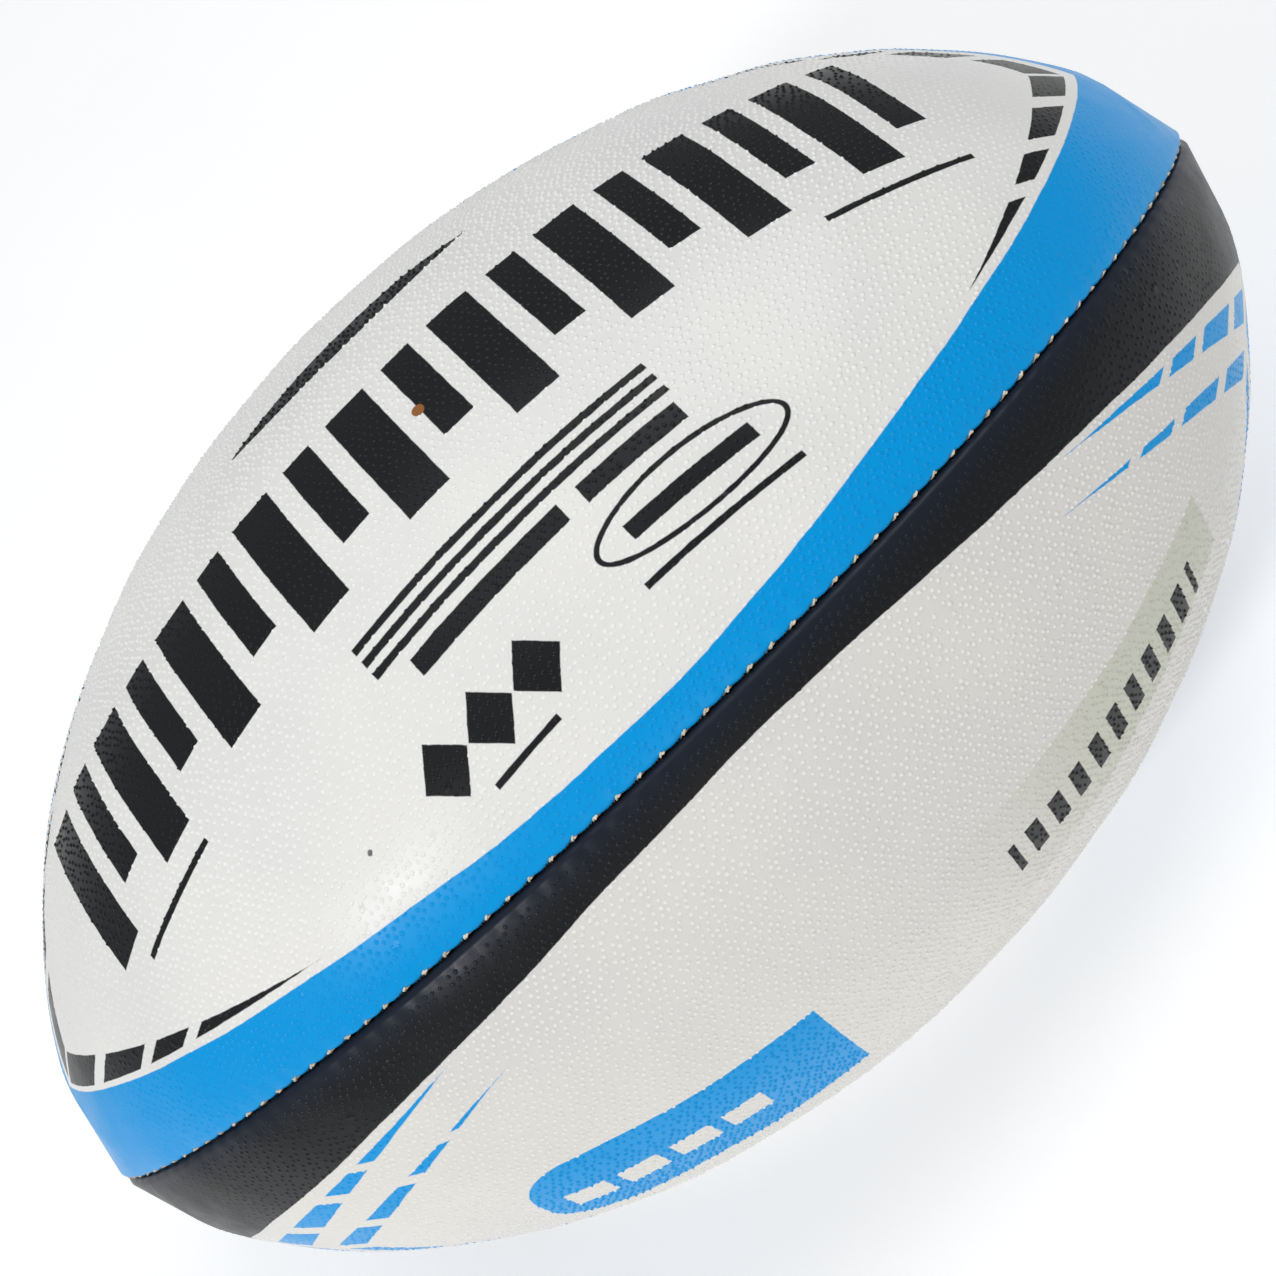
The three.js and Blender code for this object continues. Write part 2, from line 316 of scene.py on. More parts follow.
def filled(loops, inside):
    """Triangles over the area within loops of points, using the inside points as well. Each loop and
    the inside points are pairs of arc and turn. It gives indices into all of the points in order."""
    arc = np.concatenate([loop[0] for loop in loops] + [inside[0]])
    turn = np.concatenate([loop[1] for loop in loops] + [inside[1]])
    flat = np.stack([arc, station(arc)[1] * turn], axis=-1)
    edges = []
    first = 0
    for loop_arc, _ in loops:
        count = len(loop_arc)
        edges += [(first + i, first + (i + 1) % count) for i in range(count)]
        first += count
    inside_only, merge_distance, keep_ids = 1, 1e-6, True
    spots = [Vector(spot) for spot in flat.tolist()]
    made = delaunay_2d_cdt(spots, edges, [], inside_only, merge_distance, keep_ids)
    origin = np.array([ids[0] if ids else -1 for ids in made[3]])
    triangles = origin[np.array(made[2])]
    if (triangles < 0).any():
        raise ValueError("the panel's outline crosses itself")
    if len(loops) > 1:
        centre = flat[triangles].mean(axis=1)
        triangles = triangles[np.hypot(centre[:, 0], centre[:, 1]) > VALVE_HOLE_RADIUS * 0.99]
    return triangles


def outline_loop(arcs, turn):
    """A loop along one long edge of a panel and back along the other."""
    return np.concatenate([arcs, arcs[::-1]]), np.concatenate([turn, -turn[::-1]])


def hole_loop():
    """The rim of the valve hole."""
    around = np.linspace(0, math.tau, VALVE_HOLE_POINTS, endpoint=False)
    arc = VALVE_HOLE_RADIUS * np.cos(around)
    return arc, VALVE_HOLE_RADIUS * np.sin(around) / station(arc)[1]


def strip(first_row, second_row, side):
    """Triangles between two rows of indices, facing out of the panel on its side."""
    a, b = first_row[:-1], first_row[1:]
    c, d = second_row[1:], second_row[:-1]
    if side > 0:
        return np.concatenate([np.stack([a, c, b], 1), np.stack([a, d, c], 1)])
    return np.concatenate([np.stack([a, b, c], 1), np.stack([a, c, d], 1)])


def underside_lattice(arc_limit, holed):
    """Arc and turn of points under a panel, clear of its edges and of the valve hole."""
    arc, across = hex_lattice(arc_limit, UNDERSIDE_PITCH)
    turn = across / np.maximum(station(arc)[1], NOSE_RADIUS)
    kept = (np.abs(arc) < arc_limit - UNDERSIDE_NOSE_CLEARANCE) & (np.abs(turn) < EIGHTH)
    kept &= seam_offset(arc, np.clip(turn, -EIGHTH, EIGHTH)) > UNDERSIDE_EDGE_CLEARANCE
    if holed:
        kept &= np.hypot(arc, across) > VALVE_HOLE_RADIUS + UNDERSIDE_HOLE_CLEARANCE
    return arc[kept], turn[kept]


def panel_geometry(seed, border, holed):
    """One panel's points and triangles, and each point's place on the sheet, crown for the painted dot
    highlight, and dot ring.
    """
    shape = PanelShape(seed, border)
    arc_limit = TABLE_ARC[TABLE_R >= NOSE_RADIUS].max()
    count = int(2 * arc_limit / STATION_STEP)
    arcs = np.linspace(-arc_limit, arc_limit, count)
    holes = [hole_loop()] if holed else []

    # The outer skin, inside the two rolled edges.
    rim_turn = turn_at(arcs, edge_scale(arcs) * (SEAM_HALF_GAP + shape.roll), 0)
    loops = [outline_loop(arcs, rim_turn)] + holes
    rim_count = sum(len(loop[0]) for loop in loops)
    dot_arc, dot_turn, dot_height, dot_crown, dot_ring = grip_dots(seed, arc_limit, shape.roll, holed)
    skin_arc = np.concatenate([loop[0] for loop in loops] + [dot_arc])
    skin_turn = np.concatenate([loop[1] for loop in loops] + [dot_turn])
    bump = np.concatenate([np.zeros(rim_count), dot_height])
    points = [place(skin_arc, skin_turn, shape.relief(skin_arc, skin_turn) + bump)]
    flats = [(skin_arc, skin_turn)]
    faces = [filled(loops, (dot_arc, dot_turn))[:, ::-1]]
    total = len(skin_arc)

    # The rolls, walls and turned-in margins.
    side_rows = {1: [np.arange(count)], -1: [np.arange(2 * count - 1, count - 1, -1)]}
    for side in (1, -1):
        for row_turn, height in edge_rows(shape, arcs, side):
            points.append(place(arcs, row_turn, height))
            flats.append((arcs, row_turn))
            side_rows[side].append(total + np.arange(count))
            total += count
        for first_row, second_row in zip(side_rows[side], side_rows[side][1:]):
            faces.append(strip(first_row, second_row, side))

    # The underside, and the wall of the valve hole.
    inner_turn = turn_at(arcs, edge_scale(arcs) * (SEAM_HALF_GAP + EDGE_INSET), -COVER_THICKNESS)
    under = underside_lattice(arc_limit, holed)
    under_faces = filled([outline_loop(arcs, inner_turn)] + holes, under)
    extra_arc = np.concatenate([hole[0] for hole in holes] + [under[0]])
    extra_turn = np.concatenate([hole[1] for hole in holes] + [under[1]])
    points.append(place(extra_arc, extra_turn, np.full(len(extra_arc), -COVER_THICKNESS)))
    flats.append((extra_arc, extra_turn))
    inner_rim = np.concatenate([side_rows[1][-1], side_rows[-1][-1][::-1]])
    index = np.concatenate([inner_rim, total + np.arange(len(extra_arc))])
    faces.append(index[under_faces])
    if holed:
        hole_order = np.arange(VALVE_HOLE_POINTS + 1) % VALVE_HOLE_POINTS
        faces.append(strip(2 * count + hole_order, total + hole_order, -1))
    total += len(extra_arc)

    # The small flat ends at the two noses.
    for end, flip in ((0, False), (-1, True)):
        loop = [row[end] for row in side_rows[1]] + [row[end] for row in side_rows[-1][::-1]]
        loop = loop[::-1] if flip else loop
        faces.append(np.array([(loop[0], loop[i], loop[i + 1]) for i in range(1, len(loop) - 1)]))

    flat_arc = np.concatenate([flat[0] for flat in flats])
    flat_turn = np.concatenate([flat[1] for flat in flats])
    sheet = np.stack([flat_arc, flat_turn * station(flat_arc)[1], seam_offset(flat_arc, flat_turn)], -1)
    crowns, rings = np.zeros(total), np.full(total, -1)
    dots = slice(rim_count, rim_count + len(dot_arc))
    crowns[dots], rings[dots] = dot_crown, dot_ring
    return np.concatenate(points), np.concatenate(faces), sheet, crowns, rings


# ---------------------------------------------------------------- meshes

def mesh_object(name, points, triangles, sheet=None, crowns=None, rings=None):
    """A smooth mesh object from points in millimetres and rows of three indices. A panel also gets its
    sheet coordinates for the print, crowns for the painted highlight on its dots, and a crease round the
    foot of each dot."""
    mesh = bpy.data.meshes.new(name)
    mesh.vertices.add(len(points))
    mesh.vertices.foreach_set("co", (points * MM).astype(np.float32).ravel())
    mesh.loops.add(triangles.size)
    mesh.loops.foreach_set("vertex_index", triangles.astype(np.int32).ravel())
    mesh.polygons.add(len(triangles))
    mesh.polygons.foreach_set("loop_start", np.arange(0, triangles.size, 3, dtype=np.int32))
    mesh.update(calc_edges=True)
    mesh.validate()
    mesh.shade_smooth()
    if sheet is not None:
        flat = mesh.attributes.new("sheet", "FLOAT_VECTOR", "POINT")
        flat.data.foreach_set("vector", sheet.astype(np.float32).ravel())
        crown = mesh.attributes.new("crown", "FLOAT", "POINT")
        crown.data.foreach_set("value", crowns.astype(np.float32))
        ends = np.empty(2 * len(mesh.edges), np.int32)
        mesh.edges.foreach_get("vertices", ends)
        ring = rings[ends.reshape(-1, 2)]
        crease = (ring[:, 0] == ring[:, 1]) & (ring[:, 0] >= 0)
        sharp = mesh.attributes.new("sharp_edge", "BOOLEAN", "EDGE")
        sharp.data.foreach_set("value", crease)
    obj = bpy.data.objects.new(name, mesh)
    bpy.context.scene.collection.objects.link(obj)
    return obj


def make_panel(index, name, material):
    """The printed rubber panel, over its CAD solid."""
    points, triangles, *layers = panel_geometry(PANEL_SEED + index, PRINT_OF[name], name == "back")
    turned = turned_about_x(points, index * QUARTER)
    obj = mesh_object(f"printed_panel_{name}", turned, triangles, *layers)
    obj.data.materials.append(material)
    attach(obj, "ball")
    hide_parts(f"cover_panel_{name}")


# ---------------------------------------------------------------- stitches

STRAND_RADIUS = 0.21
STRAND_SPREAD = 0.19
STRAND_TWIST = 1.5
STRAND_SIDES = 7
STRAND_STEP = 0.3
THREAD_LOW = 3.7
THREAD_HIGH = 0.35
THREAD_SHARPNESS = 4
THREAD_SINK_SHARE = 0.6
THREAD_LEAN = 0.5
THREAD_SLANT = 0.3
THREAD_END_RADIUS = 2.5


def thread_path(arcs):
    """Centreline of a seam's thread: low in the slot, and up over the panels' lips at each stitch."""
    beat = 0.5 + 0.5 * np.cos(math.tau * arcs / STITCH_PITCH)
    rise = beat ** THREAD_SHARPNESS
    scale = edge_scale(arcs)
    depth = (THREAD_LOW - (THREAD_LOW - THREAD_HIGH) * rise) * scale
    sunk = PILLOW_DEPTH * np.clip(station(arcs)[1] / PILLOW_FADE_RADIUS, 0, 1) * THREAD_SINK_SHARE
    slope = np.sin(math.tau * arcs / STITCH_PITCH)
    lean = (THREAD_LEAN + THREAD_SLANT * slope) * rise * scale
    turn = -lean / station(arcs)[1]
    return place(arcs, turn, -depth - sunk * rise)


def strand_mesh(path, arcs, phase):
    """One strand of the twisted thread, wound round a path."""
    tangent = np.gradient(path, axis=0)
    tangent /= np.linalg.norm(tangent, axis=1)[:, None]
    up = np.array([0.0, 0.0, 1.0]) - tangent * tangent[:, 2:3]
    up /= np.linalg.norm(up, axis=1)[:, None]
    side = np.cross(tangent, up)
    twist = math.tau * arcs / STRAND_TWIST + phase
    centre = path + STRAND_SPREAD * (np.cos(twist)[:, None] * side + np.sin(twist)[:, None] * up)
    angle = (math.tau * np.arange(STRAND_SIDES) / STRAND_SIDES)[None, :, None]
    ring = STRAND_RADIUS * (np.cos(angle) * side[:, None] + np.sin(angle) * up[:, None])
    points = (centre[:, None] + ring).reshape(-1, 3)
    count = len(path)
    grid = np.arange(count * STRAND_SIDES).reshape(count, STRAND_SIDES)
    a, b = grid[:-1], np.roll(grid[:-1], -1, axis=1)
    c, d = np.roll(grid[1:], -1, axis=1), grid[1:]
    triangles = [np.stack([a, b, c], -1).reshape(-1, 3), np.stack([a, c, d], -1).reshape(-1, 3)]
    for ring_index, order in ((0, -1), (count - 1, 1)):
        ring_points = grid[ring_index][::order]
        triangles.append(np.array([(ring_points[0], ring_points[i], ring_points[i + 1])
                                   for i in range(1, STRAND_SIDES - 1)]))
    return points, np.concatenate(triangles)


def make_thread(index, material):
    """The stitches of the seam after a panel: two strands twisted together."""
    name = f"{PANELS[index]}_{PANELS[(index + 1) % len(PANELS)]}"
    reach = TABLE_ARC[TABLE_R >= THREAD_END_RADIUS].max()
    arcs = np.linspace(-reach, reach, int(2 * reach / STRAND_STEP))
    path = thread_path(arcs)
    if index % 2:
        path[:, 1] = -path[:, 1]
    first, first_faces = strand_mesh(path, arcs, 0)
    second, second_faces = strand_mesh(path, arcs, math.pi)
    points = np.concatenate([first, second])
    triangles = np.concatenate([first_faces, second_faces + len(first)])
    turned = turned_about_x(points, index * QUARTER + EIGHTH)
    obj = mesh_object(f"stitches_{name}", turned, triangles)
    obj.data.materials.append(material)
    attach(obj, "ball")
    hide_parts(f"seam_thread_{name}")


# ---------------------------------------------------------------- valve

LATHE_SIDES = 72
CORNER_SIZE = 0.3
CORNER_LARGEST_SHARE = 0.45
CORNER_STEPS = (0, 0.35, 0.65, 1)
VALVE_STEM_RADIUS = 6
VALVE_FLANGE_RADIUS = 15
VALVE_FLANGE_DEPTH = 4.32
VALVE_FLANGE_THICKNESS = 1.3
VALVE_SLEEVE_RADIUS = 4.6
VALVE_SLEEVE_END = 72
VALVE_SLEEVE_LIP = 1.4
CORE_HEAD_RADIUS = 4
CORE_HEAD_THICKNESS = 1.4
CORE_BODY_RADIUS = 2.8
CORE_LENGTH = 17
CORE_TIP_RADIUS = 1.6
CORE_TIP_LENGTH = 2
CORE_CLEARANCE = 0.2
GUIDE_RADIUS = 0.8
GUIDE_DEPTH = 10
GUIDE_MOUTH_RADIUS = 1.5
GUIDE_MOUTH_DEPTH = 0.6


def rounded(outline, closed):
    """The outline with a short curve in place of each corner."""
    points = [np.array(point, float) for point in outline]
    made = []
    for index, corner in enumerate(points):
        if not closed and index in (0, len(points) - 1):
            made.append(corner)
            continue
        before = points[index - 1] - corner
        after = points[(index + 1) % len(points)] - corner
        start = before * min(CORNER_LARGEST_SHARE, CORNER_SIZE / np.linalg.norm(before))
        end = after * min(CORNER_LARGEST_SHARE, CORNER_SIZE / np.linalg.norm(after))
        made += [corner + start * (1 - t) ** 2 + end * t ** 2 for t in CORNER_STEPS]
    return np.array(made)


def lathed(outline, closed):
    """Points and triangles of a round solid on the valve's axis. An open outline starts and ends on
    the axis. Beyond the stem the solid follows the ball's curve."""
    rims = outline if closed else outline[1:-1]
    around = np.linspace(0, math.tau, LATHE_SIDES, endpoint=False)
    x = rims[:, :1] * np.cos(around)
    y = rims[:, :1] * np.sin(around)
    sag = MAX_RADIUS - np.sqrt(np.interp(x, TABLE_X, TABLE_R) ** 2 - y ** 2)
    z = rims[:, 1:] - sag * (rims[:, :1] > VALVE_HOLE_RADIUS)
    points = np.stack([x, y, z], -1).reshape(-1, 3)
    grid = np.arange(len(points)).reshape(len(rims), LATHE_SIDES)
    lower = grid if closed else grid[:-1]
    upper = np.roll(grid, -1, axis=0)[:len(lower)]
    a, b, c, d = lower, np.roll(lower, -1, axis=1), np.roll(upper, -1, axis=1), upper
    triangles = [np.stack([a, b, c], -1).reshape(-1, 3), np.stack([a, c, d], -1).reshape(-1, 3)]
    if not closed:
        poles = np.array([[0, 0, outline[0][1]], [0, 0, outline[-1][1]]])
        first, last = np.full(LATHE_SIDES, len(points)), np.full(LATHE_SIDES, len(points) + 1)
        triangles.append(np.stack([first, np.roll(grid[0], -1), grid[0]], -1))
        triangles.append(np.stack([last, grid[-1], np.roll(grid[-1], -1)], -1))
        points = np.concatenate([points, poles])
    triangles = np.concatenate(triangles)
    corners = points[triangles]
    volume = np.einsum("ij,ij->i", corners[:, 0], np.cross(corners[:, 1], corners[:, 2])).sum()
    return points, triangles if volume > 0 else triangles[:, ::-1]


def housing_outline():
    """Radius and height of the housing's corners, round its section."""
    flange_top = MAX_RADIUS - VALVE_FLANGE_DEPTH
    flange_under = flange_top - VALVE_FLANGE_THICKNESS
    seat = CORE_HEAD_RADIUS + CORE_CLEARANCE
    seat_height = MAX_RADIUS - CORE_HEAD_THICKNESS - CORE_CLEARANCE
    bore = CORE_BODY_RADIUS + CORE_CLEARANCE
    bore_end = VALVE_SLEEVE_END + VALVE_SLEEVE_LIP
    return [
        (seat, MAX_RADIUS),
        (VALVE_STEM_RADIUS, MAX_RADIUS),
        (VALVE_STEM_RADIUS, flange_top),
        (VALVE_FLANGE_RADIUS, flange_top),
        (VALVE_FLANGE_RADIUS, flange_under),
        (VALVE_SLEEVE_RADIUS, flange_under),
        (VALVE_SLEEVE_RADIUS, VALVE_SLEEVE_END),
        (CORE_TIP_RADIUS, VALVE_SLEEVE_END),
        (CORE_TIP_RADIUS, bore_end),
        (bore, bore_end),
        (bore, seat_height),
        (seat, seat_height),
    ]


def core_outline():
    """Radius and height of the core's corners, from the bottom of the needle's guide to the tip."""
    tip = MAX_RADIUS - CORE_LENGTH
    under_head = MAX_RADIUS - CORE_HEAD_THICKNESS
    return [
        (0, MAX_RADIUS - GUIDE_DEPTH),
        (GUIDE_RADIUS, MAX_RADIUS - GUIDE_DEPTH),
        (GUIDE_RADIUS, MAX_RADIUS - GUIDE_MOUTH_DEPTH),
        (GUIDE_MOUTH_RADIUS, MAX_RADIUS),
        (CORE_HEAD_RADIUS, MAX_RADIUS),
        (CORE_HEAD_RADIUS, under_head),
        (CORE_BODY_RADIUS, under_head),
        (CORE_BODY_RADIUS, tip + CORE_TIP_LENGTH),
        (CORE_TIP_RADIUS, tip),
        (0, tip),
    ]


def make_valve_piece(name, outline, closed, node, body, material):
    """A turned piece on the valve's axis, over its CAD solid."""
    points, triangles = lathed(rounded(outline, closed), closed)
    turned = turned_about_x(points, PANELS.index("back") * QUARTER)
    obj = mesh_object(name, turned, triangles)
    obj.data.materials.append(material)
    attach(obj, body)
    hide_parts(node)


# ---------------------------------------------------------------- material building

class Value:
    """A number in a material's node tree that ordinary arithmetic works on."""

    def __init__(self, tree, socket):
        self.tree = tree
        self.socket = socket

    def math(self, operation, *others):
        node = self.tree.nodes.new("ShaderNodeMath")
        node.operation = operation
        for slot, value in enumerate((self, *others)):
            if isinstance(value, Value):
                self.tree.links.new(value.socket, node.inputs[slot])
            else:
                node.inputs[slot].default_value = value
        return Value(self.tree, node.outputs[0])

    def __add__(self, other):
        return self.math("ADD", other)

    def __sub__(self, other):
        return self.math("SUBTRACT", other)

    def __mul__(self, other):
        return self.math("MULTIPLY", other)

    def __neg__(self):
        return self.math("MULTIPLY", -1)

    def __abs__(self):
        return self.math("ABSOLUTE")

    def least(self, other):
        return self.math("MINIMUM", other)

    def most(self, other):
        return self.math("MAXIMUM", other)

    def power(self, exponent):
        return self.math("POWER", exponent)

    def wrapped(self, period):
        """Folds the number into the range from minus half a period to half a period."""
        return self.math("WRAP", period / 2, -period / 2)

    def between(self, low, high):
        """How far the number is inside a range, below zero outside it."""
        return -abs(self - (low + high) / 2) + (high - low) / 2


class Paint:
    """A material under construction, with its node tree and its shader."""

    def __init__(self, name, **constants):
        self.material = bpy.data.materials.new(name)
        self.material.use_nodes = True
        self.tree = self.material.node_tree
        self.shader = self.tree.nodes["Principled BSDF"]
        for socket, value in constants.items():
            self.shader.inputs[socket.replace("_", " ")].default_value = value

    def node(self, kind, **settings):
        node = self.tree.nodes.new(kind)
        for key, value in settings.items():
            setattr(node, key, value)
        return node

    def link(self, source, target):
        self.tree.links.new(source.socket if isinstance(source, Value) else source, target)

    def coordinates(self):
        return self.node("ShaderNodeTexCoord").outputs["Object"]

    def sheet(self):
        """Arc, across and distance from the seam plane, in millimetres."""
        attribute = self.node("ShaderNodeAttribute", attribute_name="sheet")
        parts = self.node("ShaderNodeSeparateXYZ")
        self.link(attribute.outputs["Vector"], parts.inputs[0])
        return [Value(self.tree, output) for output in parts.outputs]

    def noise(self, grain_mm, detail=2.0, roughness=0.5):
        """Noise from 0 to 1 whose lumps are about as wide as the grain."""
        node = self.node("ShaderNodeTexNoise")
        self.link(self.coordinates(), node.inputs["Vector"])
        node.inputs["Scale"].default_value = 1 / (grain_mm * MM)
        node.inputs["Detail"].default_value = detail
        node.inputs["Roughness"].default_value = roughness
        return Value(self.tree, node.outputs["Fac"])

    def ramp(self, value, low, high, from_value=0.0, to_value=1.0):
        node = self.node("ShaderNodeMapRange", clamp=True)
        self.link(value, node.inputs["Value"])
        node.inputs["From Min"].default_value = low
        node.inputs["From Max"].default_value = high
        node.inputs["To Min"].default_value = from_value
        node.inputs["To Max"].default_value = to_value
        return Value(self.tree, node.outputs["Result"])

    def mixed(self, first, second, share):
        """A colour between two, each a colour or a socket."""
        node = self.node("ShaderNodeMix", data_type="RGBA")
        self.link(share, node.inputs["Factor"])
        for socket, colour in ((node.inputs[6], first), (node.inputs[7], second)):
            if isinstance(colour, tuple):
                socket.default_value = colour
            else:
                self.link(colour, socket)
        return node.outputs[2]

    def colour(self, source):
        self.link(source, self.shader.inputs["Base Color"])

    def roughness(self, source):
        self.link(source, self.shader.inputs["Roughness"])

    def bump(self, height, distance_mm, strength=1.0):
        node = self.node("ShaderNodeBump")
        node.inputs["Strength"].default_value = strength
        node.inputs["Distance"].default_value = distance_mm * MM
        self.link(height, node.inputs["Height"])
        self.link(node.outputs["Normal"], self.shader.inputs["Normal"])


def colour_of(red, green, blue):
    """A colour given as 0 to 255 on screen, as the linear light that shaders use."""
    shown = [value / 255 for value in (red, green, blue)]
    linear = [((v + 0.055) / 1.055) ** 2.4 if v > 0.04 else v / 12.92 for v in shown]
    return (*linear, 1.0)


# ---------------------------------------------------------------- the print on the panels

RUBBER_SHADES = {
    "blue": (colour_of(236, 235, 232), colour_of(228, 228, 226)),
    "black": (colour_of(228, 226, 221), colour_of(220, 219, 217)),
}
# Painted highlight: each dot's crown is lightened towards these shades, in place of the glint of light
# on its top.
CROWN_HIGHLIGHTS = {"blue": colour_of(248, 248, 246), "black": colour_of(246, 245, 241)}
CROWN_HIGHLIGHT_STRENGTH = 1.5
BLUE_INK = colour_of(0, 155, 228)
BLACK_INK = colour_of(31, 32, 34)
# Painted reflection: the black border is navy near the seam and black from these distances on, in place
# of the sheen on its rolled edge.
NAVY_SHEEN = colour_of(30, 36, 48)
NAVY_SHEEN_WIDTHS = (1.5, 6)
PALE_TINT = colour_of(209, 210, 197)
BROWN_MARK = colour_of(150, 98, 55)
GREY_MARK = colour_of(110, 112, 112)
RUBBER_ROUGHNESS = (0.26, 0.34)
INK_ROUGHNESS = (0.3, 0.4)

# Every printed curve that follows a panel's edge is width * (1 - (|arc| / end)^BEND)^SWELL.
BEND = 1.76
SWELL = 0.87
FALL_PAST_END = 300

# The white fields: half width and end, from left to right inside a blue border.
BLUE_FIELD_HALF_WIDTHS = (67.8, 66.1)
BLUE_FIELD_ENDS = (157.9, 153)
BLUE_FIELD_SHIFT = 1.2
BLACK_FIELD = (65.2, 152.2)

# Rows of dashes along the fields: outer curve, inner curve, and the gaps across the panel.
DASHES_START = 60
RIGHT_DASHES = ((63.4, 148.5), (67.7, 138.4), [(28.6, 31.5), (20, 22.9), (8.5, 11.8), (-1, 0.5)])
LEFT_DASHES = ((64.3, 155.2), (67.1, 145.6), [(31.8, 33.8), (23.7, 26), (11.5, 14.5), (-1, 0.5)])
OUTER_DASHES = ((65.4, 145.9), (68.2, 137.7), [(31, 33), (22.4, 25), (9.8, 12.9), (-1, 1.7)])
INNER_DASHES = ((58.2, 131.8), (60.3, 125.4), [(32.6, 34.6), (24.2, 26.7), (11.8, 14.7), (-1, 1.7)])

# How soft a printed edge is, how ragged, and how far a border wanders.
PRINT_SOFTNESS = 0.09
PRINT_RAGGEDNESS = 0.35
BORDER_DRIFT = 1.1

# Bars on a blue-bordered panel: from one arc to another, and from one place across to another.
PLAIN_BARS = [
    (-34, 32, 22.8, 24.2),
    (-34, 32, 25.6, 27.0),
    (-34, 32, 28.4, 29.8),
    (-28, 6, 31.8, 35.4),
    (10, 31, 31.8, 35.4),
    (-102, -76, 19.4, 20.6),
    (73, 105, 19.4, 20.6),
    (7, 40, 51.0, 52.2),
    (-32, -17, 55.4, 56.6),
    (11, 37, 42.0, 45.0),
]
DIAMOND_ARCS = (-36, -25, -14)
DIAMOND_ACROSS = 48
DIAMOND_SIZE = 4.0
RING_MIDDLE = (24, 43.5)
RING_HALF_WIDTHS = (19.4, 5.4)
RING_THICKNESS = 0.9
SPINDLE_HALF_LENGTH = 30
SPINDLE_HALF_WIDTH = 3.4
SPINDLE_ACROSS = -34
BROWN_SPOT = ((1, 0), 1.2)
GREY_SPOT = ((-55, 46), 0.5)

# The bold row on a blue-bordered panel.
WORD_ARCS = (-111, 108)
WORD_HALF_HEIGHT = 15
WORD_FLARE = 6
WORD_FLARE_REACH = 110
WORD_PERIOD = 24.4
WORD_OFFSET = 1.5
TALL_BAR = (-10.8, -1.6)
SHORT_BAR = (2.8, 9.4)
SHORT_BAR_ACROSS = (-40, 8)

# The banner on a black-bordered panel, and the white bars in it.
BANNER_CENTRE = (-75, 0.5)
BANNER_STRAIGHT_HALF_WIDTH = 3
BANNER_ROUNDING = 12.5
BANNER_RIGHT_END = -23
BANNER_BAR_PERIOD = 11
BANNER_BAR_HALF_WIDTH = 4.2
BANNER_BAR_ACROSS = (-3, 4.5)
BANNER_BAR_ARCS = (-84, -40)

# A shape in the print is a number: millimetres inside the shape, below zero outside it.


def curve(arc, width, end):
    """The printed curve for a width and an end, each of which may vary along the panel. Past its
    end it falls steeply below zero."""
    share = abs(arc).math("DIVIDE", end)
    beyond = (share - 1).most(0) * FALL_PAST_END
    return (-share.power(BEND) + 1).most(0).power(SWELL) * width - beyond


def field(arc, across, width, end):
    """How far inside a lens-shaped outline a place is, across the panel."""
    return curve(arc, width, end) - abs(across)


def dashes(arc, across, outer, inner, gaps):
    """A tapering band between two lens outlines, cut by gaps at given places across the panel."""
    band = field(arc, across, *outer).least(-field(arc, across, *inner))
    for low, high in gaps:
        band = band.least(-abs(across).between(low, high))
    return band.least(abs(arc) - DASHES_START)


def bar(arc, across, low_arc, high_arc, low_across, high_across):
    """A rectangle."""
    return arc.between(low_arc, high_arc).least(across.between(low_across, high_across))


def joined(shapes):
    """All of the shapes together."""
    total = shapes[0]
    for shape in shapes[1:]:
        total = total.most(shape)
    return total


def word_bars(arc, across):
    """Bold upright bars, tall and short in turn, that flare towards both ends of the row."""
    place_in_pair = (arc + WORD_OFFSET).wrapped(WORD_PERIOD)
    tall = place_in_pair.between(*TALL_BAR)
    short = place_in_pair.between(*SHORT_BAR).least(across.between(*SHORT_BAR_ACROSS))
    flare = (arc * (1 / WORD_FLARE_REACH)).power(2) * WORD_FLARE
    height = (-across + WORD_HALF_HEIGHT).least(across + WORD_HALF_HEIGHT + flare)
    return tall.most(short).least(height).least(arc.between(*WORD_ARCS))


def ellipse_ring(arc, across, middle, half_widths, thickness):
    """A band of even thickness along an ellipse."""
    u, v = arc - middle[0], across - middle[1]
    a, b = half_widths
    level = (u.power(2) * (1 / a ** 2) + v.power(2) * (1 / b ** 2)).power(0.5)
    slope = (u.power(2) * (1 / a ** 4) + v.power(2) * (1 / b ** 4)).power(0.5)
    distance = abs((level - 1) * level).math("DIVIDE", slope.most(1e-4))
    return -distance + thickness / 2


def blue_border_graphics(arc, across):
    """Black print on a panel with a blue border."""
    shapes = [word_bars(arc, across)]
    shapes += [bar(arc, across, *extent) for extent in PLAIN_BARS]
    shapes.append(ellipse_ring(arc, across, RING_MIDDLE, RING_HALF_WIDTHS, RING_THICKNESS))
    for middle in DIAMOND_ARCS:
        shapes.append(-abs(arc - middle) * 0.75 - abs(across - DIAMOND_ACROSS) * 0.7 + DIAMOND_SIZE)
    swell = -(arc * (1 / SPINDLE_HALF_LENGTH)).power(2) * SPINDLE_HALF_WIDTH + SPINDLE_HALF_WIDTH
    return joined(shapes + [swell - abs(across - SPINDLE_ACROSS)])


def black_border_graphics(arc, across):
    """Black print on a panel with a black border: a short row of bars."""
    strokes = (arc - 51).wrapped(6.2).between(-1.7, 1.7)
    return strokes.least(arc.between(20, 82)).least(across.between(-7.5, 2))


